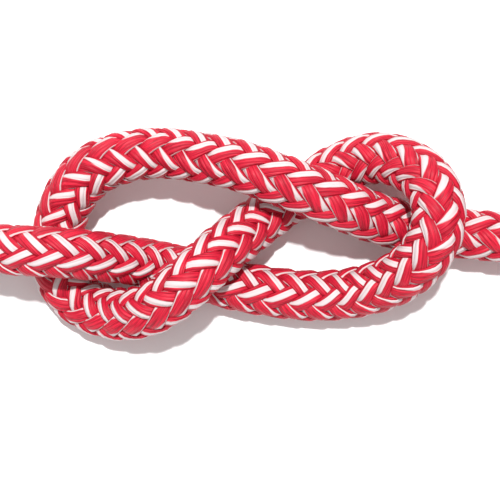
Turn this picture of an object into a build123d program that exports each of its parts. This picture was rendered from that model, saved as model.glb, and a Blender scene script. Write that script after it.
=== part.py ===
"""Braided dock line with a figure-eight knot near one end and the rest put away as a tied hank.

Units are millimetres, +Z is up and the line lies on the plane Z = 0. The origin is the middle
of the whole line's footprint, on that plane.
"""

import os
from math import pi, radians, tan

from build123d import *

os.makedirs("parts", exist_ok=True)

# Rope: a braided cover over a straight core
rope_diameter = 10.0
core_diameter = 6.4

# Whipping twine and the melted seal at each cut end
whipping_thickness = 0.6
whipping_length = 7.0
whipping_setback = 0.3
seal_length = 1.0
seal_edge_radius = 0.6

# Hank: turns lie in two lanes side by side, stacked in layers
lane_count = 2
layer_count = 6
layer_pitch = 9.0
inner_turn_radius = 25.0
hank_straight = 126.0
hank_edge_radius = 4.5

# Strap round the middle of the hank
strap_width = 20.0
strap_thickness = 1.5
strap_corner_radius = 8.0

# Far end of the line, which lies in a gap of the hank's top layer
far_end_from_middle = 45.0
far_end_bare_length = 3.0
gap_clearance = 0.1

# The share of a run that the arc at its end takes
arc_share = 0.45

# Centreline of the knot from the sealed tail to the hank, for a 10 mm rope
drawn_diameter = 10.0
drawn_route = [
    # tail, up over the left loop
    (-79.0, 0.5, 5.6), (-65.5, 0.5, 5.6), (-52.0, 0.3, 7.8), (-46.5, 0.1, 12.4),
    (-41.0, -0.2, 15.6), (-34.5, -0.6, 15.6), (-27.0, -1.4, 11.2), (-20.0, -2.6, 5.5),
    # under the diagonal and along the lower right side
    (-12.0, -4.4, 5.0), (-4.0, -7.0, 5.0), (4.0, -8.4, 5.0), (12.0, -9.3, 5.0),
    (20.0, -8.8, 5.5), (27.0, -6.8, 8.6), (32.0, -3.4, 13.8),
    # right loop, over the standing part
    (35.2, 1.6, 16.6), (36.0, 8.0, 16.6), (35.2, 13.8, 14.0), (31.0, 17.4, 10.5),
    (25.0, 18.6, 7.6), (18.4, 16.9, 5.4), (12.6, 13.2, 5.0), (6.6, 9.4, 5.0),
    # diagonal, over the tail
    (0.6, 4.8, 7.6), (-5.0, 0.4, 13.0), (-9.0, -3.4, 15.8), (-13.8, -8.0, 15.4),
    (-19.5, -11.8, 11.4), (-26.0, -13.6, 6.2),
    # left loop, under the tail
    (-32.5, -12.4, 5.0), (-37.2, -8.0, 5.0), (-39.0, -1.8, 5.0), (-38.2, 5.0, 5.4),
    (-35.8, 11.2, 7.0), (-31.0, 16.2, 8.8), (-24.2, 18.6, 9.4), (-16.4, 19.2, 9.8),
    # upper side, over the diagonal and under the right loop
    (-8.4, 17.8, 11.8), (-2.2, 16.4, 14.4), (3.4, 14.3, 15.8), (9.6, 12.0, 15.8),
    (16.6, 9.2, 14.0), (25.0, 6.0, 8.6), (34.0, 4.2, 5.4), (43.0, 3.2, 6.6),
    # standing part, down to the ground and on to the hank
    (51.0, 2.4, 7.0), (59.0, 0.2, 5.0), (66.0, -3.3, 5.0),
]
# From there into the hank's outer lane, where its near bend ends and its straight side starts
drawn_lead_in = [(66.0, -3.3, 5.0), (76.0, -8.3, 5.0), (88.0, -13.2, 5.0), (104.0, -15.0, 5.0)]

# Sizes that follow from the ones above
scale = rope_diameter / drawn_diameter
rope_radius = rope_diameter / 2
core_radius = core_diameter / 2
whipping_radius = rope_radius + whipping_thickness
outer_turn_radius = inner_turn_radius + (lane_count - 1) * rope_diameter
hank_outer_radius = outer_turn_radius + rope_radius
hank_inner_radius = inner_turn_radius - rope_radius
hank_height = rope_diameter + (layer_count - 1) * layer_pitch
hank_length = hank_straight + 2 * hank_outer_radius
hank_centre_x = drawn_lead_in[-1][0] * scale + hank_straight / 2
hank_centre_y = drawn_lead_in[-1][1] * scale + outer_turn_radius
tail_tip_x = drawn_route[0][0] * scale - seal_length
far_side_x = hank_centre_x + hank_length / 2
origin = Vector((tail_tip_x + far_side_x) / 2, hank_centre_y, 0)


def placed(points):
    """The drawn points at this rope's size, seen from the part's origin."""
    return [Vector(*point) * scale - origin for point in points]


def corner_radii(points):
    """The largest arc radius that the two runs at each corner leave room for."""
    radii = []
    for before, corner, after in zip(points, points[1:], points[2:]):
        first, second = corner - before, after - corner
        half_turn = radians(first.get_angle(second)) / 2
        radii.append(arc_share * min(first.length, second.length) / tan(half_turn))
    return radii


def rounded_path(points):
    """Straight runs joined by tangent arcs."""
    return FilletPolyline(*points, radius=corner_radii(points))


def start_of(points):
    """The plane square to a path at its first point."""
    return Plane(origin=points[0], z_dir=points[1] - points[0])


route = placed(drawn_route)
lead_in = placed(drawn_lead_in)
tail_plane = Plane(origin=route[0], z_dir=route[0] - route[1])

# Braided cover of the knotted stretch: a hollow tube
with BuildPart() as cover:
    with BuildLine() as cover_path:
        rounded_path(route)
    with BuildSketch(start_of(route)):
        Circle(rope_radius)
        Circle(core_radius, mode=Mode.SUBTRACT)
    sweep(path=cover_path.wire())

# Core of the knotted stretch, which fills the cover
with BuildPart() as core:
    with BuildLine() as core_path:
        rounded_path(route)
    with BuildSketch(start_of(route)):
        Circle(core_radius)
    sweep(path=core_path.wire())

# Twine whipping bound round the tail
with BuildPart() as tail_whipping:
    with BuildSketch(tail_plane.offset(-whipping_setback)):
        Circle(whipping_radius)
        Circle(rope_radius, mode=Mode.SUBTRACT)
    extrude(amount=-whipping_length)

# Melted seal on the tail's cut face
with BuildPart() as tail_seal:
    with BuildSketch(tail_plane):
        Circle(rope_radius)
    extrude(amount=seal_length)
    fillet(tail_seal.edges().sort_by(Axis.X)[0], radius=seal_edge_radius)

# Places on the hank, seen from the middle of its footprint
hank_middle = Plane(origin=(hank_centre_x - origin.X, hank_centre_y - origin.Y, 0))
far_end_y = whipping_radius - hank_outer_radius
far_end_z = hank_height - whipping_radius
far_end_plane = Plane(
    origin=hank_middle.from_local_coords(Vector(far_end_from_middle, far_end_y, far_end_z)),
    z_dir=(1, 0, 0),
)
gap_start_x = far_end_from_middle - whipping_setback - whipping_length - far_end_bare_length
gap_end_x = hank_straight / 2
gap_width = 2 * whipping_radius + gap_clearance
gap_floor_z = hank_height - gap_width
strap_start = Plane(
    origin=hank_middle.from_local_coords(Vector(-strap_width / 2, 0, hank_height / 2)),
    x_dir=(0, 1, 0),
    z_dir=(1, 0, 0),
)

# Hank: the outer shape of all its turns, with the incoming line and the line's far end on it
with BuildPart() as hank:
    with BuildSketch(hank_middle):
        SlotCenterToCenter(hank_straight, 2 * hank_outer_radius)
        SlotCenterToCenter(hank_straight, 2 * hank_inner_radius, mode=Mode.SUBTRACT)
    extrude(amount=hank_height)
    fillet(hank.faces().filter_by(Axis.Z).edges(), radius=hank_edge_radius)
    # groove that the strap pulls into the turns
    with BuildSketch(strap_start):
        Rectangle(3 * hank_outer_radius, 2 * hank_height)
        RectangleRounded(
            2 * (hank_outer_radius - strap_thickness),
            hank_height - 2 * strap_thickness,
            strap_corner_radius - strap_thickness,
            mode=Mode.SUBTRACT,
        )
    extrude(amount=strap_width, mode=Mode.SUBTRACT)
    # gap in the top layer's outer lane, where the line ends
    with BuildSketch(hank_middle.offset(gap_floor_z)):
        with Locations((gap_start_x, gap_width - hank_outer_radius)):
            Rectangle(gap_end_x - gap_start_x, 2 * gap_width, align=(Align.MIN, Align.MAX))
    extrude(amount=2 * gap_width, mode=Mode.SUBTRACT)
    # far end of the line
    with BuildSketch(far_end_plane):
        Circle(rope_radius)
    extrude(amount=gap_start_x - far_end_from_middle)
    # incoming line
    with BuildLine() as lead_in_path:
        rounded_path(lead_in)
    with BuildSketch(start_of(lead_in)):
        Circle(rope_radius)
    sweep(path=lead_in_path.wire())

# Twine whipping bound round the far end
with BuildPart() as end_whipping:
    with BuildSketch(far_end_plane.offset(-whipping_setback)):
        Circle(whipping_radius)
        Circle(rope_radius, mode=Mode.SUBTRACT)
    extrude(amount=-whipping_length)

# Melted seal on the far end's cut face
with BuildPart() as end_seal:
    with BuildSketch(far_end_plane):
        Circle(rope_radius)
    extrude(amount=seal_length)
    fillet(end_seal.edges().sort_by(Axis.X)[-1], radius=seal_edge_radius)

# Webbing strap round the middle of the hank
with BuildPart() as hank_strap:
    with BuildSketch(strap_start):
        RectangleRounded(2 * hank_outer_radius, hank_height, strap_corner_radius)
        RectangleRounded(
            2 * (hank_outer_radius - strap_thickness),
            hank_height - 2 * strap_thickness,
            strap_corner_radius - strap_thickness,
            mode=Mode.SUBTRACT,
        )
    extrude(amount=strap_width)

cover.part.label = "cover"
core.part.label = "core"
tail_whipping.part.label = "tail_whipping"
tail_seal.part.label = "tail_seal"
hank.part.label = "hank"
hank_strap.part.label = "hank_strap"
end_whipping.part.label = "end_whipping"
end_seal.part.label = "end_seal"

export_step(cover.part, "parts/cover.step")
export_step(core.part, "parts/core.step")
export_step(tail_whipping.part, "parts/tail_whipping.step")
export_step(tail_seal.part, "parts/tail_seal.step")
export_step(hank.part, "parts/hank.step")
export_step(hank_strap.part, "parts/hank_strap.step")
export_step(end_whipping.part, "parts/end_whipping.step")
export_step(end_seal.part, "parts/end_seal.step")

print("arc radii along the route:", [round(radius, 1) for radius in corner_radii(route)])
path_length = cover_path.wire().length
for name, tube, area in (
    ("cover", cover, pi * (rope_radius**2 - core_radius**2)),
    ("core", core, pi * core_radius**2),
):
    print(f"{name}: volume {tube.part.volume:.1f}, section times length {area * path_length:.1f}")
print(f"route length {path_length:.1f}")
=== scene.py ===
"""Braided dock line with a figure-eight knot near one end and a strapped hank: the visual model.

Everything is in metres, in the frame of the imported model. The rope's cover is built as it is
braided: eight strands run one way round it and eight the other, each over two and under two.
"""

import logging
import math
from dataclasses import dataclass, field
from enum import Enum

import bmesh
import bpy
import numpy as np
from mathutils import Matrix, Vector, noise


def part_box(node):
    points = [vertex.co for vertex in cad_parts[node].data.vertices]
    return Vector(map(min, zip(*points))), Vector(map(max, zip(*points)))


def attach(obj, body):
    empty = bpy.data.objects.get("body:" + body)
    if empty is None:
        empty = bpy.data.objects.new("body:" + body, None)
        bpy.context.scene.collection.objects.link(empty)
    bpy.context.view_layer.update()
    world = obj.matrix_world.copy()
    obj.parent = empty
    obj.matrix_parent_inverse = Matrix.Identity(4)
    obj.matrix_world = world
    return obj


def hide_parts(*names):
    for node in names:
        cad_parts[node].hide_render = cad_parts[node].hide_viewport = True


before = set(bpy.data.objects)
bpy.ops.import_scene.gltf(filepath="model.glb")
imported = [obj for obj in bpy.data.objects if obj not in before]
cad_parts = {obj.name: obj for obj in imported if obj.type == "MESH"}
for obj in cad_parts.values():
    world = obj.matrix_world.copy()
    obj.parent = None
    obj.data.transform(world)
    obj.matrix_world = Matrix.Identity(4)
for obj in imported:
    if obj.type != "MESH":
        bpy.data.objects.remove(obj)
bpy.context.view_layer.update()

logging.basicConfig(level=logging.INFO, format="%(message)s")
log = logging.getLogger("dock_line")

MM = 0.001
ROOT = "root"
WHIPPING_SETBACK = 0.3 * MM
UP = np.array([0.0, 0.0, 1.0])
# Points closer than this are one point, in metres
SAME_PLACE = 1e-8

# The rope's centreline in millimetres, seen from the middle of the knot: tail first
ROUTE_MM = (
    # tail, up over the left loop
    (-79.0, 0.5, 5.6), (-67.0, 0.5, 5.4), (-56.0, 0.4, 8.6), (-48.5, 0.2, 13.8),
    (-41.5, -0.2, 16.8), (-34.5, -0.6, 16.2), (-27.5, -1.4, 10.8), (-20.0, -2.6, 5.4),
    # under the diagonal and along the lower right side
    (-12.0, -4.4, 5.0), (-4.0, -7.0, 5.0), (4.0, -8.4, 5.0), (12.0, -9.3, 5.0),
    (20.0, -8.8, 5.8), (27.0, -6.8, 9.4), (32.0, -3.2, 13.9),
    # right loop, over the standing part
    (35.3, 1.8, 16.6), (36.3, 7.6, 16.8), (34.8, 13.0, 14.8), (30.8, 16.9, 11.4),
    (25.0, 18.6, 7.8), (18.4, 16.9, 5.4), (12.6, 13.2, 5.0), (6.6, 9.4, 5.0),
    # diagonal, over the tail
    (0.6, 4.8, 7.6), (-5.0, 0.4, 13.0), (-9.0, -3.4, 15.8), (-13.8, -8.0, 15.8),
    (-19.5, -11.8, 12.4), (-26.0, -13.0, 7.4),
    # left loop, under the tail
    (-32.5, -11.2, 5.0), (-37.0, -7.4, 5.0), (-39.0, -1.8, 5.0), (-38.2, 5.0, 5.4),
    (-35.8, 11.2, 7.0), (-31.0, 16.2, 8.8), (-24.2, 18.6, 9.4), (-16.4, 19.2, 9.8),
    # upper side, over the diagonal and under the right loop
    (-8.4, 17.8, 11.8), (-2.2, 16.4, 14.4), (3.4, 14.3, 15.8), (9.6, 12.0, 16.0),
    (16.6, 9.2, 14.6), (25.0, 6.0, 8.6), (34.0, 4.2, 5.4), (43.0, 3.2, 6.6),
    # standing part, down to the ground and on to the hank
    (51.0, 2.4, 7.0), (59.0, 0.2, 5.0), (66.0, -3.3, 5.0), (76.0, -8.3, 5.0),
    (88.0, -13.2, 5.0),
)
# Where the hank's first straight side starts, in the same frame
HANK_START_MM = (104.0, -15.0, 5.0)
# How far along the line the route above can reach, in metres
ROUTE_REACH = 0.4
# At a point of the route: how far the braid has turned about the rope and how far its white
# bands have, both in degrees from upwards, and the rope's girth, which grows where it is bent
BRAID_TURNS = (
    (0, 4.0, 4.0, 1.0), (7, 0.0, 0.0, 1.0), (9, -12.0, -12.0, 1.02), (12, -12.0, -12.0, 1.03),
    (14, -35.0, -36.0, 1.05), (16, -50.0, -70.0, 1.08), (19, -56.0, -64.0, 1.04),
    (21, -58.0, -72.0, 1.02), (24, -58.0, -86.0, 1.03), (26, -56.0, -86.0, 1.04),
    (28, -54.0, -84.0, 1.06), (30, -70.0, -96.0, 1.06), (32, -79.0, -103.0, 1.06),
    (34, -68.0, -85.0, 1.07), (35, -56.0, -80.0, 1.04), (36, -46.0, -68.0, 1.02),
    (37, -40.0, -40.0, 1.02), (40, -50.0, -50.0, 1.03), (49, -57.0, -57.0, 1.0),
)


class Hand(Enum):
    """The way a strand winds round the rope."""

    RIGHT = 1
    LEFT = -1


# ---------------------------------------------------------------- materials

Input = float | tuple | bpy.types.NodeSocket


def srgb(code: str) -> tuple[float, float, float, float]:
    """A linear colour from an sRGB hex value.

    Args:
        code: six hex digits after a hash.

    Returns:
        Red, green, blue and alpha, linear.
    """
    parts = [int(code[i : i + 2], 16) / 255 for i in (1, 3, 5)]
    linear = [c / 12.92 if c <= 0.04045 else ((c + 0.055) / 1.055) ** 2.4 for c in parts]
    return (*linear, 1.0)


def add(tree: bpy.types.NodeTree, kind: str, settings: dict | None = None, **inputs: Input) -> bpy.types.Node:
    """One shader node with its settings and links.

    Args:
        tree: the node tree that gets the node.
        kind: the node's type name without its ShaderNode prefix.
        settings: values of the node's own properties.
        **inputs: a value or an output socket for each input, by name with _ for a space, or
            by number as i0, i1.

    Returns:
        The new node.
    """
    node = tree.nodes.new("ShaderNode" + kind)
    for name, value in (settings or {}).items():
        setattr(node, name, value)
    for name, value in inputs.items():
        key = int(name[1:]) if name[0] == "i" and name[1:].isdigit() else name.replace("_", " ")
        socket = node.inputs[key]
        if isinstance(value, bpy.types.NodeSocket):
            tree.links.new(value, socket)
        else:
            socket.default_value = value
    return node


def ramp(tree: bpy.types.NodeTree, factor: Input, low: float, high: float) -> bpy.types.NodeSocket:
    """A smooth step.

    Args:
        tree: the node tree that gets the node.
        factor: the value to step.
        low: the value where the step starts, at 0.
        high: the value where it ends, at 1.

    Returns:
        The stepped value.
    """
    smooth = {"interpolation_type": "SMOOTHSTEP"}
    step = add(tree, "MapRange", smooth, Value=factor, From_Min=low, From_Max=high)
    return step.outputs["Result"]


def blend(tree: bpy.types.NodeTree, factor: Input, first: Input, second: Input) -> bpy.types.NodeSocket:
    """A mix of two colours.

    Args:
        tree: the node tree that gets the node.
        factor: the share of the second colour.
        first: the colour at 0.
        second: the colour at 1.

    Returns:
        The mixed colour.
    """
    mix = add(tree, "Mix", {"data_type": "RGBA"}, i0=factor, i6=first, i7=second)
    return mix.outputs[2]


def maths(tree: bpy.types.NodeTree, operation: str, *values: Input) -> bpy.types.NodeSocket:
    """One arithmetic operation.

    Args:
        tree: the node tree that gets the node.
        operation: the operation's name.
        *values: what it works on.

    Returns:
        The result.
    """
    inputs = {f"i{i}": value for i, value in enumerate(values)}
    return add(tree, "Math", {"operation": operation}, **inputs).outputs[0]


def new_material(name: str) -> tuple[bpy.types.Material, bpy.types.NodeTree, bpy.types.Node]:
    """An empty material with its shader.

    Args:
        name: the real material's name.

    Returns:
        The material, its node tree and its shader node.
    """
    material = bpy.data.materials.new(name)
    material.use_nodes = True
    return material, material.node_tree, material.node_tree.nodes["Principled BSDF"]


def finish(
    tree: bpy.types.NodeTree,
    shader: bpy.types.Node,
    colour: bpy.types.NodeSocket,
    roughness: float,
) -> None:
    """Joins a finish's colour and roughness to its shader.

    Args:
        tree: the node tree.
        shader: its shader node.
        colour: the finish's colour.
        roughness: the finish's roughness.
    """
    tree.links.new(colour, shader.inputs["Base Color"])
    shader.inputs["Roughness"].default_value = roughness


def emboss(
    tree: bpy.types.NodeTree,
    shader: bpy.types.Node,
    height: bpy.types.NodeSocket,
    strength: float,
    depth: float,
) -> None:
    """Gives a finish its fine relief.

    Args:
        tree: the node tree.
        shader: its shader node.
        height: the relief, from 0 to 1.
        strength: how strongly it shows.
        depth: how deep it is, in metres.
    """
    bump = add(tree, "Bump", {}, Strength=strength, Distance=depth, Height=height)
    tree.links.new(bump.outputs[0], shader.inputs["Normal"])


@dataclass(frozen=True)
class BraidedPolyester:
    """Continuous-filament polyester yarn, spun-dyed red with some yarns left white.

    The filaments are smooth and lie side by side, so the eye sees fine lines along each
    strand and a soft, silky highlight across them. The red darkens to painted shade in the
    low streaks. Angles are in degrees. Streaks and patches
    """

    red: str = "#D4203A"
    # painted shade: the darker red of the low filament streaks
    shaded_red: str = "#8E0820"
    white: str = "#C6BBC3"
    cream: str = "#D8C6BF"
    roughness: float = 0.5
    white_half_angle: float = 28.0
    edge_half_angle: float = 9.0
    edge_starts: float = 0.7
    crown_starts: float = 0.95
    white_yarns: int = 3
    yarns_round: int = 11
    streaks_round: float = 60.0
    streaks_along: float = 180.0
    patch_scale: float = 260.0
    fray: float = 0.12
    soft_edge: float = 0.05
    # painted shade: below this streak value the red is fully shaded, above red_above fully lit
    shaded_below: float = 0.32
    red_above: float = 0.66
    groove_height: float = 0.7
    filament_height: float = 0.5
    relief: float = 0.7
    relief_depth: float = 0.25 * MM
    ior: float = 1.5
    specular: float = 0.25

    def build(self) -> bpy.types.Material:
        """The material, which reads the strand's own UV map: U turns round it, V runs along.

        Returns:
            The material.
        """
        material, tree, shader = new_material("braided_polyester")
        uv = add(tree, "UVMap", {"uv_map": "yarn"}).outputs["UV"]
        split = add(tree, "SeparateXYZ", Vector=uv)
        turn, along = split.outputs["X"], split.outputs["Y"]

        # yarn grooves and the filaments in each yarn
        yarn = maths(tree, "MULTIPLY", turn, math.pi * self.yarns_round)
        groove = maths(tree, "ABSOLUTE", maths(tree, "SINE", yarn))
        across = maths(tree, "MULTIPLY", turn, self.streaks_round)
        down = maths(tree, "MULTIPLY", along, self.streaks_along)
        stretched = add(tree, "CombineXYZ", X=across, Y=down).outputs[0]
        streaks = add(tree, "TexNoise", {}, Vector=stretched, Scale=1.0, Detail=3.0, Roughness=0.6)
        filament = streaks.outputs[0]
        patches = add(tree, "TexNoise", {}, Vector=uv, Scale=self.patch_scale, Detail=1.0).outputs[0]

        # white where the white yarns face outwards
        outward = add(tree, "Attribute", {"attribute_name": "outward"}).outputs["Fac"]
        facing = maths(tree, "COSINE", maths(tree, "MULTIPLY", turn, 2 * math.pi * self.white_yarns))
        away = maths(tree, "DIVIDE", maths(tree, "ARCCOSINE", facing), self.white_yarns)
        wide, thin = math.radians(self.white_half_angle), math.radians(self.edge_half_angle)
        crown = {"From_Min": self.edge_starts, "From_Max": self.crown_starts}
        reach = add(tree, "MapRange", {}, Value=outward, **crown, To_Min=thin, To_Max=wide)
        frayed = maths(tree, "MULTIPLY", maths(tree, "SUBTRACT", filament, 0.5), self.fray)
        inside = maths(tree, "ADD", maths(tree, "SUBTRACT", reach.outputs[0], away), frayed)
        whiteness = ramp(tree, inside, -self.soft_edge, self.soft_edge)

        # painted shade: the red darkens where the filament streaks dip, the same noise that lowers their
        # relief
        streak_lighting = ramp(tree, filament, self.shaded_below, self.red_above)
        lit_and_shaded_reds = blend(tree, streak_lighting, srgb(self.shaded_red), srgb(self.red))
        whites = blend(tree, patches, srgb(self.cream), srgb(self.white))
        colour = blend(tree, whiteness, lit_and_shaded_reds, whites)
        grooves = maths(tree, "MULTIPLY", groove, self.groove_height)
        filaments = maths(tree, "MULTIPLY", filament, self.filament_height)
        height = maths(tree, "ADD", grooves, filaments)
        emboss(tree, shader, height, self.relief, self.relief_depth)
        finish(tree, shader, colour, self.roughness)
        shader.inputs["IOR"].default_value = self.ior
        shader.inputs["Specular IOR Level"].default_value = self.specular
        return material


@dataclass(frozen=True)
class CoreYarn:
    """Undyed polyester roving, dull white and laid straight. It shows only in the gaps between the strands,
    so it is coloured pink with a dark red-brown mottle as painted shade, tinted red by the strands round it.
    """

    # painted shade: pink and dark red-brown, the shaded gaps between the strands where the core shows
    colour: str = "#D9BDB8"
    painted_shade: str = "#8E4A4C"
    fuzz_scale: float = 1500.0
    roughness: float = 0.8

    def build(self) -> bpy.types.Material:
        """The material, which reads the piece's own place.

        Returns:
            The material.
        """
        material, tree, shader = new_material("core_roving")
        place = add(tree, "TexCoord").outputs["Object"]
        fuzz = add(tree, "TexNoise", {}, Vector=place, Scale=self.fuzz_scale, Detail=3.0).outputs[0]
        # painted shade: the core is mottled towards the dark red-brown of the shaded gaps
        colour = blend(tree, fuzz, srgb(self.colour), srgb(self.painted_shade))
        finish(tree, shader, colour, self.roughness)
        return material


@dataclass(frozen=True)
class WaxedTwine:
    """Waxed off-white whipping twine: laid plies show as slanting lines, darker in the grooves between them
    by painted shade, with a waxy highlight.
    """

    colour: str = "#E9E1CE"
    # painted shade: the colour in the grooves between the plies
    painted_shade: str = "#B5A888"
    plies: float = 3.0
    plies_along: float = 1400.0
    relief: float = 0.6
    relief_depth: float = 0.1 * MM
    roughness: float = 0.5

    def build(self) -> bpy.types.Material:
        """The material, which reads the twine's own UV map.

        Returns:
            The material.
        """
        material, tree, shader = new_material("waxed_twine")
        uv = add(tree, "UVMap", {"uv_map": "yarn"}).outputs["UV"]
        split = add(tree, "SeparateXYZ", Vector=uv)
        round_it = maths(tree, "MULTIPLY", split.outputs["X"], self.plies)
        along_it = maths(tree, "MULTIPLY", split.outputs["Y"], self.plies_along)
        lay = maths(tree, "MULTIPLY", maths(tree, "ADD", round_it, along_it), math.pi)
        ply = maths(tree, "ABSOLUTE", maths(tree, "SINE", lay))
        # painted shade: the twine darkens in the grooves between the plies
        colour = blend(tree, ply, srgb(self.painted_shade), srgb(self.colour))
        emboss(tree, shader, ply, self.relief, self.relief_depth)
        finish(tree, shader, colour, self.roughness)
        return material


@dataclass(frozen=True)
class MeltedPolyester:
    """Yarn ends melted together and set: a hard, glossy, mottled skin."""

    red: str = "#8E1420"
    pale: str = "#D9A8A0"
    mottle_scale: float = 700.0
    red_below: float = 0.4
    pale_above: float = 0.62
    relief: float = 0.5
    relief_depth: float = 0.3 * MM
    roughness: float = 0.28

    def build(self) -> bpy.types.Material:
        """The material, which reads the piece's own place.

        Returns:
            The material.
        """
        material, tree, shader = new_material("melted_polyester")
        place = add(tree, "TexCoord").outputs["Object"]
        mottle = add(tree, "TexNoise", {}, Vector=place, Scale=self.mottle_scale, Detail=4.0).outputs[0]
        paleness = ramp(tree, mottle, self.red_below, self.pale_above)
        colour = blend(tree, paleness, srgb(self.red), srgb(self.pale))
        emboss(tree, shader, mottle, self.relief, self.relief_depth)
        finish(tree, shader, colour, self.roughness)
        return material


@dataclass(frozen=True)
class Webbing:
    """Woven navy polyester webbing: ribs along it, picks across it, a painted highlight on the raised points
    of the weave with painted shade in its dips, and a dull sheen.
    """

    colour: str = "#1E2A4A"
    # painted highlight: the lighter navy on the raised points of the weave
    light: str = "#34446E"
    rib_pitch: float = 1.4 * MM
    pick_pitch: float = 1.1 * MM
    weave_depth: float = 0.25
    relief: float = 0.7
    relief_depth: float = 0.25 * MM
    sheen: float = 0.3
    roughness: float = 0.7

    def build(self) -> bpy.types.Material:
        """The material, which reads the strap's own UV map in metres.

        Returns:
            The material.
        """
        material, tree, shader = new_material("polyester_webbing")
        uv = add(tree, "UVMap", {"uv_map": "yarn"}).outputs["UV"]
        split = add(tree, "SeparateXYZ", Vector=uv)
        across = maths(tree, "MULTIPLY", split.outputs["X"], 2 * math.pi / self.rib_pitch)
        along = maths(tree, "MULTIPLY", split.outputs["Y"], 2 * math.pi / self.pick_pitch)
        crossed = maths(tree, "MULTIPLY", maths(tree, "SINE", across), maths(tree, "SINE", along))
        weave = maths(tree, "ADD", maths(tree, "MULTIPLY", crossed, self.weave_depth), 0.5)
        # painted highlight and shade: lighter on the raised points of the weave, darker in its dips
        colour = blend(tree, weave, srgb(self.colour), srgb(self.light))
        emboss(tree, shader, weave, self.relief, self.relief_depth)
        finish(tree, shader, colour, self.roughness)
        shader.inputs["Sheen Weight"].default_value = self.sheen
        return material


# ---------------------------------------------------------------- meshes


def put_in_scene(name: str, bm: bmesh.types.BMesh, smooth: bool = True) -> bpy.types.Object:
    """Makes an object of a finished mesh.

    Args:
        name: the piece's name.
        bm: its mesh, which is freed.
        smooth: whether its faces are shaded smooth.

    Returns:
        The object.
    """
    for face in bm.faces:
        face.smooth = smooth
    mesh = bpy.data.meshes.new(name)
    bm.to_mesh(mesh)
    bm.free()
    piece = bpy.data.objects.new(name, mesh)
    bpy.context.scene.collection.objects.link(piece)
    return piece


def rolled_tube(
    name: str, rings: np.ndarray, uv: np.ndarray, outward: np.ndarray | None = None
) -> bpy.types.Object:
    """A closed tube, made from a flat grid that is rolled up and closed at both ends.

    Args:
        name: the piece's name.
        rings: points as (ring, side, xyz), with the last side lying on the first.
        uv: the U and V of each of those points.
        outward: how far each side faces away from the rope, from -1 to 1.

    Returns:
        The piece, at the origin.
    """
    count, sides = rings.shape[0], rings.shape[1]
    bm = bmesh.new()
    bm.loops.layers.uv.new("yarn")
    bmesh.ops.create_grid(bm, x_segments=count - 1, y_segments=sides - 1, size=0.5)
    mesh = bpy.data.meshes.new(name)
    bm.to_mesh(mesh)
    flat = np.empty(len(mesh.vertices) * 3)
    mesh.vertices.foreach_get("co", flat)
    flat = flat.reshape(-1, 3)
    ring = np.rint((flat[:, 0] + 0.5) * (count - 1)).astype(int)
    side = np.rint((flat[:, 1] + 0.5) * (sides - 1)).astype(int)
    mesh.vertices.foreach_set("co", rings[ring, side].ravel())
    corner = np.empty(len(mesh.loops), int)
    mesh.loops.foreach_get("vertex_index", corner)
    mesh.uv_layers["yarn"].data.foreach_set("uv", uv[ring[corner], side[corner]].ravel())
    if outward is not None:
        mesh.attributes.new("outward", "FLOAT", "POINT").data.foreach_set("value", outward[side])
    bm.clear()
    bm.from_mesh(mesh)
    bpy.data.meshes.remove(mesh)
    bmesh.ops.remove_doubles(bm, verts=bm.verts, dist=SAME_PLACE)
    bmesh.ops.holes_fill(bm, edges=[edge for edge in bm.edges if edge.is_boundary], sides=0)
    bmesh.ops.recalc_face_normals(bm, faces=bm.faces)
    return put_in_scene(name, bm)


def dress(piece: bpy.types.Object, material: bpy.types.Material) -> bpy.types.Object:
    """Gives a piece its material and its place in the record, and lets it ride on the rope.

    Args:
        piece: the piece.
        material: its material.

    Returns:
        The same piece.
    """
    piece.data.materials.clear()
    piece.data.materials.append(material)
    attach(piece, ROOT)
    log.info("%s: %d faces", piece.name, len(piece.data.polygons))
    return piece


# ---------------------------------------------------------------- the line


def curve_places(points: list[Vector], resolution: int) -> np.ndarray:
    """The places along a NURBS curve.

    Args:
        points: its control points.
        resolution: how many steps it has from one control point to the next.

    Returns:
        Its places in order, as rows.
    """
    data = bpy.data.curves.new("rope_line", "CURVE")
    data.dimensions = "3D"
    data.resolution_u = resolution
    spline = data.splines.new("NURBS")
    spline.points.add(len(points) - 1)
    for control, point in zip(spline.points, points):
        control.co = (*point, 1.0)
    spline.order_u = 3
    spline.use_endpoint_u = True
    holder = bpy.data.objects.new("rope_line", data)
    mesh = bpy.data.meshes.new_from_object(holder)
    place = np.empty(len(mesh.vertices) * 3)
    mesh.vertices.foreach_get("co", place)
    bpy.data.meshes.remove(mesh)
    bpy.data.objects.remove(holder)
    return place.reshape(-1, 3)


def even_steps(place: np.ndarray, step: float) -> tuple[np.ndarray, np.ndarray]:
    """The same line at even steps.

    Args:
        place: places along it.
        step: how far apart the new ones are.

    Returns:
        The distances along it and the places there.
    """
    gap = np.linalg.norm(np.diff(place, axis=0), axis=1)
    apart = gap > SAME_PLACE / 10
    place = place[np.concatenate([[True], apart])]
    along = np.concatenate([[0.0], np.cumsum(gap[apart])])
    even = np.linspace(0, along[-1], int(along[-1] / step))
    return even, np.stack([np.interp(even, along, place[:, i]) for i in range(3)], -1)


def directions(place: np.ndarray, window: int) -> tuple[np.ndarray, np.ndarray, np.ndarray]:
    """The directions along a line.

    Args:
        place: places along it.
        window: how many steps the forward direction is averaged over, an odd number.

    Returns:
        Forward, up and right at each place, as unit vectors.
    """
    forward = np.gradient(place, axis=0)
    padded = np.pad(forward, ((window // 2, window // 2), (0, 0)), mode="edge")
    kernel = np.ones(window) / window
    forward = np.stack([np.convolve(padded[:, i], kernel, "valid") for i in range(3)], -1)
    forward /= np.linalg.norm(forward, axis=1)[:, None]
    up = UP - forward * forward[:, 2:]
    up /= np.linalg.norm(up, axis=1)[:, None]
    return forward, up, np.cross(forward, up)


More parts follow.
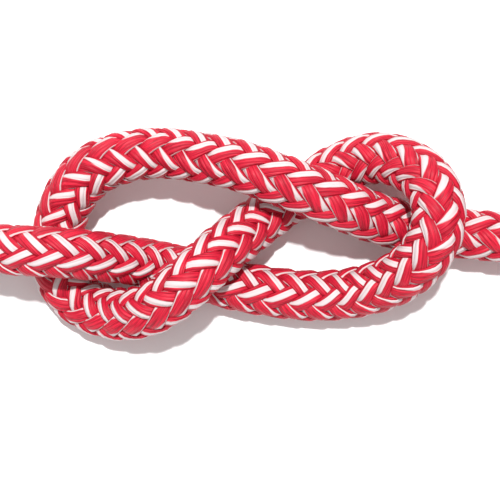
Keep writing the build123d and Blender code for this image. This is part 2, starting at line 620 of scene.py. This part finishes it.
def oval(wave: np.ndarray, fullness: float) -> np.ndarray:
    """A sine or cosine drawn out towards a square wave.

    Args:
        wave: its values.
        fullness: 1 leaves it as it is, and less makes it fuller.

    Returns:
        The fuller wave.
    """
    return np.sign(wave) * np.abs(wave) ** fullness


@dataclass
class Hank:
    """The put-away turns: two lanes side by side, stacked in layers, tied by a strap.

    The line winds three turns for every two layers. It comes in on the outer lane, moves to
    the inner one round the near bend, climbs a layer along the far side, moves out again
    round the far bend and climbs the next layer along the near side.
    """

    diameter: float
    near: Vector
    straight: float = 126 * MM
    inner_radius: float = 25 * MM
    layer_pitch: float = 9 * MM
    layers: int = 6
    turns: int = 9
    end_run: float = 108 * MM
    end_spacing: float = 10 * MM
    strap_squeeze: float = 3 * MM
    bend_points: int = 6
    run_points: int = 6
    squeezed_points: tuple[float, ...] = (0.0, 0.0, 0.3, 1.0, 0.3, 0.0)

    @property
    def outer_radius(self) -> float:
        """The outer lane's radius at the bends."""
        return self.inner_radius + self.diameter

    @property
    def middle(self) -> Vector:
        """The middle of the hank's footprint."""
        return self.near + Vector((self.straight / 2, self.outer_radius, 0))

    @property
    def rise(self) -> float:
        """How far the line climbs from the first layer to the last."""
        return (self.layers - 1) * self.layer_pitch

    @property
    def height(self) -> float:
        """The height of all layers."""
        return self.diameter + self.rise

    def squeezed(self, point: Vector, share: float) -> Vector:
        """A point drawn in by the strap.

        Args:
            point: a place on a straight side.
            share: how much of the strap's squeeze it takes.

        Returns:
            The place it is drawn to.
        """
        half = self.outer_radius + self.diameter / 2
        across = point.y - self.middle.y
        up = self.strap_squeeze * (1 - 2 * point.z / self.height)
        pull = Vector((0, -across / half * self.strap_squeeze, up))
        return point + pull * share

    def run(self, radius: float, side: int, low: float, high: float) -> list[Vector]:
        """The points along one straight side.

        Args:
            radius: the lane's radius.
            side: -1 for the near side, which runs towards +X, and 1 for the far side.
            low: the height at its start.
            high: the height at its end.

        Returns:
            Points from the run's start up to, but not at, its end.
        """
        points = []
        for step in range(self.run_points):
            share = step / self.run_points
            x = self.straight * (share - 0.5) * -side
            place = self.middle + Vector((x, side * radius, 0))
            place.z = low + (high - low) * share
            points.append(self.squeezed(place, self.squeezed_points[step]))
        return points

    def bend(self, start: float, end: float, side: int, height: float) -> list[Vector]:
        """The points round one bend.

        Args:
            start: the radius where the bend starts.
            end: the radius where it ends.
            side: 1 for the far bend, at +X, and -1 for the near one.
            height: the bend's height.

        Returns:
            Points from the bend's start up to, but not at, its end.
        """
        points = []
        for step in range(self.bend_points):
            share = step / self.bend_points
            angle = math.pi * (share - 0.5)
            radius = start + (end - start) * share
            out = radius if step == 0 else radius / math.cos(math.pi / self.bend_points / 2)
            offset = Vector((math.cos(angle) * out, math.sin(angle) * out, 0)) * side
            place = self.middle + Vector((side * self.straight / 2, 0, 0)) + offset
            place.z = height
            points.append(place)
        return points

    def points(self) -> list[Vector]:
        """The turns' points.

        Returns:
            The control points of all turns and of the end run on top.
        """
        inner, outer = self.inner_radius, self.outer_radius
        path = []
        for turn in range(self.turns):
            group, phase = divmod(turn, 3)
            low = self.near.z + 2 * group * self.layer_pitch
            high = low + self.layer_pitch
            before = low - self.layer_pitch if group else low
            if phase == 0:
                path += self.run(outer, -1, before, low) + self.bend(outer, outer, 1, low)
                path += self.run(outer, 1, low, low) + self.bend(outer, inner, -1, low)
            elif phase == 1:
                path += self.run(inner, -1, low, low) + self.bend(inner, inner, 1, low)
                path += self.run(inner, 1, low, high) + self.bend(inner, inner, -1, high)
            else:
                path += self.run(inner, -1, high, high) + self.bend(inner, outer, 1, high)
                path += self.run(outer, 1, high, high) + self.bend(outer, outer, -1, high)
        top = self.near.z + self.rise
        room = self.near.x + self.end_run - self.end_spacing
        last = [point for point in self.run(outer, -1, top, top) if point.x < room]
        end = self.near + Vector((self.end_run, 0, top - self.near.z))
        return path + last + [end]


@dataclass
class Centreline:
    """The rope's line, as places and directions at even steps along it."""

    along: np.ndarray
    place: np.ndarray
    up: np.ndarray
    right: np.ndarray
    turn: np.ndarray
    tint: np.ndarray
    girth: np.ndarray
    braided: np.ndarray

    @property
    def length(self) -> float:
        """The whole length."""
        return float(self.along[-1])

    def at(self, distance: np.ndarray, values: np.ndarray) -> np.ndarray:
        """Values along the line at any distances.

        Args:
            distance: distances from the tail, of any shape.
            values: one row for each step of the line.

        Returns:
            The values there, with the columns last.
        """
        flat = distance.ravel()
        columns = [np.interp(flat, self.along, column) for column in np.atleast_2d(values.T)]
        return np.stack(columns, -1).reshape(*distance.shape, -1)

    def round(self, distance: np.ndarray, angle: np.ndarray, radius: np.ndarray) -> np.ndarray:
        """Points round the rope.

        Args:
            distance: distances from the tail.
            angle: angles from upwards, in radians, clockwise for a viewer looking along it.
            radius: distances from the line.

        Returns:
            The points.
        """
        up, right = self.at(distance, self.up), self.at(distance, self.right)
        out = np.cos(angle)[..., None] * up + np.sin(angle)[..., None] * right
        return self.at(distance, self.place) + out * radius[..., None]


@dataclass
class DockLine:
    """The whole line: its route, braided cover, core, whippings and seals.

    Angles are in degrees, and the hank's twist is in degrees per metre.
    """

    diameter: float = 10 * MM
    core_diameter: float = 5.6 * MM
    core_step: float = 2 * MM
    core_sides: int = 12
    lead: float = 42 * MM
    bend_share: float = 0.5
    hank_twist: float = 360.0
    strands_each_way: int = 8
    strand_width: float = 2.95 * MM
    strand_thickness: float = 1.25 * MM
    crimp: float = 0.68 * MM
    strand_sides: int = 8
    fullness: float = 0.72
    crown_growth: float = 0.04
    crown_flatness: float = 0.15
    crimp_inwards: float = 0.85
    braid_start: float = 33.75
    crossing_start: float = 22.5
    curve_resolution: int = 20
    line_step: float = 0.5 * MM
    direction_window: int = 5
    bend_window: int = 9
    knot_step: float = 0.7 * MM
    hank_step: float = 1.3 * MM
    whipping_length: float = 7 * MM
    whipping_setback: float = WHIPPING_SETBACK
    twine: float = 0.6 * MM
    twine_overlap: float = 1.04
    twine_rings: int = 28
    twine_sides: int = 8
    seal: float = 0.9 * MM
    seal_margin: float = 0.15 * MM
    seal_lumps: float = 0.05
    knot: Vector = field(default_factory=Vector)
    hank: Hank | None = None
    line: Centreline | None = None
    route_marks: list[float] = field(default_factory=list)

    def lay_out(self) -> None:
        """Draws the line's NURBS curve and reads its places and directions back."""
        route = [self.knot + Vector(point) * MM for point in ROUTE_MM]
        hank_start = self.knot + Vector([value * MM for value in HANK_START_MM])
        self.hank = Hank(self.diameter, hank_start)
        curve = curve_places(route + self.hank.points(), self.curve_resolution)
        even, place = even_steps(curve, self.line_step)
        forward, up, right = directions(place, self.direction_window)
        near = place[even < ROUTE_REACH]
        self.route_marks = [
            float(even[np.argmin(np.linalg.norm(near - np.array(point), axis=1))])
            for point in route
        ]
        numbers, turns, tints, girths = zip(*BRAID_TURNS)
        marks = [self.route_marks[number] for number in numbers]
        drift = np.maximum(even - marks[-1], 0.0) * math.radians(self.hank_twist)
        turn = np.radians(np.interp(even, marks, turns)) - drift
        tint = np.radians(np.interp(even, marks, tints)) - drift
        bend = np.linalg.norm(np.gradient(forward, even, axis=0), axis=1)
        bend = np.convolve(bend, np.ones(self.bend_window) / self.bend_window, "same")
        rate = 1 + self.bend_share * self.diameter / 2 * bend
        braided = np.concatenate([[0.0], np.cumsum((rate[1:] + rate[:-1]) / 2 * np.diff(even))])
        girth = np.interp(even, marks, girths)
        self.line = Centreline(even, place, up, right, turn, tint, girth, braided)

    def stations(self) -> np.ndarray:
        """Where the strands have their rings: close together in the knot, wider in the hank.

        Returns:
            Distances from the tail.
        """
        split = self.route_marks[-1]
        knot = np.arange(0, split, self.knot_step)
        rest = np.linspace(split, self.line.length, int((self.line.length - split) / self.hank_step))
        return np.concatenate([knot, rest])

    def strand(self, number: int, hand: Hand, material: bpy.types.Material) -> bpy.types.Object:
        """One strand of the braided cover.

        Args:
            number: its place round the rope, from 0.
            hand: the way it winds.
            material: its yarn.

        Returns:
            The strand.
        """
        distance = self.stations()[:, None]
        around = np.linspace(0, 2 * np.pi, self.strand_sides + 1)[None, :]
        braided = self.line.at(distance, self.line.braided)[..., 0]
        girth = self.line.at(distance, self.line.girth)[..., 0]
        wound = hand.value * 2 * np.pi * braided / self.lead + 2 * np.pi * number / self.strands_each_way
        wound = wound - math.radians(self.braid_start)
        wave = self.strands_each_way / 2 * (wound + math.radians(self.crossing_start))
        lift = hand.value * (np.cos(wave) - self.crown_flatness * np.cos(3 * wave))
        growth = 1 + self.crown_growth * lift
        middle_radius = self.diameter / 2 - self.strand_thickness / 2 - self.crimp_inwards * self.crimp
        slope = math.atan(2 * math.pi * middle_radius / self.lead)
        across = self.strand_width / 2 * growth * oval(np.sin(around), self.fullness) * girth
        out = self.strand_thickness / 2 * growth * oval(np.cos(around), self.fullness)
        radius = (middle_radius + self.crimp * lift + out) * girth
        shifted = distance - hand.value * across * math.sin(slope)
        shifted = np.clip(shifted, 0, self.line.length)
        angle = wound + across * math.cos(slope) / radius + self.line.at(shifted, self.line.turn)[..., 0]
        rings = self.line.round(shifted, angle, radius)
        lag = self.line.at(distance, self.line.turn)[..., 0] - self.line.at(distance, self.line.tint)[..., 0]
        facing = (around - hand.value * (wound + lag)) / (2 * np.pi)
        uv = np.stack([facing + 0 * distance, distance + 0 * around], -1)
        name = f"cover_strand_{'right' if hand is Hand.RIGHT else 'left'}_{number + 1}"
        piece = rolled_tube(name, rings, uv, np.cos(around[0]))
        return dress(piece, material)

    def core(self, material: bpy.types.Material) -> bpy.types.Object:
        """The core inside the cover.

        Args:
            material: its yarn.

        Returns:
            The core.
        """
        steps = int(self.line.length / self.core_step)
        distance = np.linspace(0, self.line.length, steps)[:, None]
        around = np.linspace(0, 2 * np.pi, self.core_sides + 1)[None, :]
        radius = np.full_like(distance + around, self.core_diameter / 2)
        rings = self.line.round(distance + 0 * around, around + 0 * distance, radius)
        uv = np.stack([around + 0 * distance, distance + 0 * around], -1)
        return dress(rolled_tube("core_yarns", rings, uv), material)

    def whipping(self, name: str, start: float, end: float, material: bpy.types.Material) -> bpy.types.Object:
        """Twine wound round an end of the rope.

        Args:
            name: the piece's name.
            start: the distance along the rope where the twine starts.
            end: the distance where it ends.
            material: its twine.

        Returns:
            The whipping.
        """
        turns = abs(end - start - self.twine) / self.twine
        share = np.linspace(0, 1, int(turns * self.twine_rings))[:, None]
        distance = min(start, end) + self.twine / 2 + share * (abs(end - start) - self.twine)
        around = np.linspace(0, 2 * np.pi, self.twine_sides + 1)[None, :]
        angle = share * turns * 2 * np.pi + 0 * around
        radius = self.diameter / 2 + self.twine / 2 + self.twine / 2 * np.cos(around) + 0 * share
        width = self.twine / 2 * self.twine_overlap
        rings = self.line.round(distance + width * np.sin(around), angle, radius)
        length = turns * math.pi * (self.diameter + self.twine)
        uv = np.stack([around / (2 * np.pi) + 0 * share, share * length + 0 * around], -1)
        return dress(rolled_tube(name, rings, uv), material)

    def melted_end(
        self, name: str, distance: float, way: int, material: bpy.types.Material
    ) -> bpy.types.Object:
        """The melted skin on a cut end.

        Args:
            name: the piece's name.
            distance: where the cut is along the rope.
            way: -1 at the tail and 1 at the far end.
            material: its finish.

        Returns:
            The seal.
        """
        bm = bmesh.new()
        bmesh.ops.create_uvsphere(bm, u_segments=40, v_segments=20, radius=1.0)
        spot = np.array([[distance]])
        centre = Vector(self.line.at(spot, self.line.place)[0, 0])
        up = Vector(self.line.at(spot, self.line.up)[0, 0])
        right = Vector(self.line.at(spot, self.line.right)[0, 0])
        outward = right.cross(up) * -way
        radius = self.diameter / 2 - self.seal_margin
        for vert in bm.verts:
            lump = 1 + self.seal_lumps * noise.noise(vert.co * 3 + Vector((distance, 0, 0)))
            side = (right * vert.co.x + up * vert.co.y) * radius * lump
            vert.co = centre + side + outward * vert.co.z * self.seal * lump
        bmesh.ops.recalc_face_normals(bm, faces=bm.faces)
        return dress(put_in_scene(name, bm), material)

    def build(self) -> None:
        self.lay_out()
        yarn = BraidedPolyester().build()
        twine = WaxedTwine().build()
        melt = MeltedPolyester().build()
        strands = [
            self.strand(number, hand, yarn)
            for hand in Hand
            for number in range(self.strands_each_way)
        ]
        core = self.core(CoreYarn().build())
        length = self.line.length
        first, last = self.whipping_setback, self.whipping_setback + self.whipping_length
        tail_whipping = self.whipping("tail_whipping_twine", first, last, twine)
        end_whipping = self.whipping("end_whipping_twine", length - last, length - first, twine)
        tail_seal = self.melted_end("tail_melted_seal", 0.0, -1, melt)
        end_seal = self.melted_end("end_melted_seal", length, 1, melt)
        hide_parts("cover", "hank")
        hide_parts("core")
        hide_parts("tail_whipping")
        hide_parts("end_whipping")
        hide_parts("tail_seal")
        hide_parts("end_seal")
        path = [tuple(point) for point in self.line.place[::4].tolist()]
        path.append(tuple(self.line.place[-1].tolist()))
        log.info("line: %.3f m, %d cover strands", length, len(strands))


@dataclass
class Strap:
    """The webbing strap round the hank."""

    width: float = 20 * MM
    thickness: float = 1.5 * MM
    corner: float = 8 * MM
    edge: float = 0.4 * MM
    steps: int = 160
    steps_across: int = 10

    def build(self) -> None:
        """Builds the strap as one closed band."""
        low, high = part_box("hank_strap")
        half_y, half_z = (high[1] - low[1]) / 2, (high[2] - low[2]) / 2
        centre = Vector(((low[0] + high[0]) / 2, (low[1] + high[1]) / 2, (low[2] + high[2]) / 2))
        straight_y, straight_z = half_y - self.corner, half_z - self.corner
        quarter = math.pi / 2 * self.corner
        sides = [2 * straight_z, quarter, 2 * straight_y, quarter] * 2
        total = sum(sides)
        bm = bmesh.new()
        uv_layer = bm.loops.layers.uv.new("yarn")
        bmesh.ops.create_grid(bm, x_segments=self.steps, y_segments=self.steps_across, size=0.5)
        flat = {vert: vert.co.copy() for vert in bm.verts}
        for face in bm.faces:
            for loop in face.loops:
                spot = flat[loop.vert]
                loop[uv_layer].uv = (spot.y * self.width, (spot.x + 0.5) * total)
        inset = self.thickness / 2
        for vert, spot in flat.items():
            y, z, ny, nz = self.outline((spot.x + 0.5) * total, straight_y, straight_z, total)
            vert.co = centre + Vector((spot.y * self.width, y - ny * inset, z - nz * inset))
        bmesh.ops.remove_doubles(bm, verts=bm.verts, dist=10 * SAME_PLACE)
        bmesh.ops.recalc_face_normals(bm, faces=bm.faces)
        piece = put_in_scene("hank_strap_webbing", bm)
        solid = piece.modifiers.new("thickness", "SOLIDIFY")
        solid.thickness = self.thickness
        solid.offset = 0.0
        edge = piece.modifiers.new("edge", "BEVEL")
        edge.width = self.edge
        edge.segments = 2
        dress(piece, Webbing().build())
        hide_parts("hank_strap")
        log.info("strap: %.1f mm wide, %.0f mm round", self.width / MM, total / MM)

    def outline(
        self, distance: float, straight_y: float, straight_z: float, total: float
    ) -> tuple[float, float, float, float]:
        """A place on the strap's rounded rectangle.

        Args:
            distance: how far round it.
            straight_y: half the straight part across.
            straight_z: half the straight part up.
            total: the length of the whole loop.

        Returns:
            Y and Z from its centre, and the outward direction's Y and Z.
        """
        left = distance % total
        corner = self.corner
        signs = ((1, 1), (-1, 1), (-1, -1), (1, -1))
        for quarter, (sign_y, sign_z) in enumerate(signs):
            cy, cz = sign_y * straight_y, sign_z * straight_z
            angle = quarter * math.pi / 2
            side = 2 * (straight_z if quarter % 2 == 0 else straight_y)
            ny, nz = math.cos(angle), math.sin(angle)
            if left < side:
                back = side - left
                return cy + ny * corner + nz * back, cz + nz * corner - ny * back, ny, nz
            left -= side
            arc = math.pi / 2 * corner
            if left < arc:
                ny, nz = math.cos(angle + left / corner), math.sin(angle + left / corner)
                return cy + ny * corner, cz + nz * corner, ny, nz
            left -= arc
        return straight_y + corner, -straight_z, 1.0, 0.0


# ---------------------------------------------------------------- stage


@dataclass
class Studio:
    """A pale floor, soft light and a camera that looks straight down at the knot."""

    knot: Vector
    view_width: float = 100 * MM
    rope_height: float = 5 * MM
    camera_height: float = 260 * MM
    light_elevation: float = 71.0
    light_strength: float = 4.05
    light_angle: float = 3.0
    sky_strength: float = 0.62
    floor_half_width: float = 3.0
    floor_colour: str = "#F4F4F4"
    floor_roughness: float = 0.9

    def build(self) -> None:
        """Builds the floor, the lights and the camera."""
        scene = bpy.context.scene
        scene.view_settings.view_transform = "Standard"
        bm = bmesh.new()
        bmesh.ops.create_grid(bm, x_segments=1, y_segments=1, size=self.floor_half_width)
        floor = put_in_scene("floor", bm, smooth=False)
        material, _, shader = new_material("white_paper")
        shader.inputs["Base Color"].default_value = srgb(self.floor_colour)
        shader.inputs["Roughness"].default_value = self.floor_roughness
        floor.data.materials.append(material)
        sun_data = bpy.data.lights.new("key", "SUN")
        sun_data.energy = self.light_strength
        sun_data.angle = math.radians(self.light_angle)
        sun = bpy.data.objects.new("key", sun_data)
        sun.rotation_euler = (math.radians(self.light_elevation - 90), 0, 0)
        scene.collection.objects.link(sun)
        world = bpy.data.worlds.new("studio")
        world.use_nodes = True
        sky = world.node_tree.nodes["Background"]
        sky.inputs["Color"].default_value = srgb("#FFFFFF")
        sky.inputs["Strength"].default_value = self.sky_strength
        scene.world = world
        camera_data = bpy.data.cameras.new("camera")
        distance = self.camera_height - self.rope_height
        camera_data.angle = 2 * math.atan(self.view_width / 2 / distance)
        camera_data.clip_start = 0.01
        camera = bpy.data.objects.new("camera", camera_data)
        camera.location = self.knot + Vector((0, 0, self.camera_height))
        scene.collection.objects.link(camera)
        scene.camera = camera
        log.info("studio: camera %.0f mm above the ground", self.camera_height / MM)


def knot_middle() -> Vector:
    """The middle of the knot on the ground, from the sealed tail's place.

    Returns:
        The place, in the model's frame.
    """
    low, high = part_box("tail_whipping")
    start = Vector(ROUTE_MM[0]) * MM
    return Vector((low[0] - WHIPPING_SETBACK - start.x, (low[1] + high[1]) / 2 - start.y, 0))


def main() -> None:
    """Builds the studio, the line and the strap."""
    knot = knot_middle()
    Studio(knot).build()
    line = DockLine(knot=knot)
    line.build()
    Strap().build()


if __name__ == "__main__":
    main()
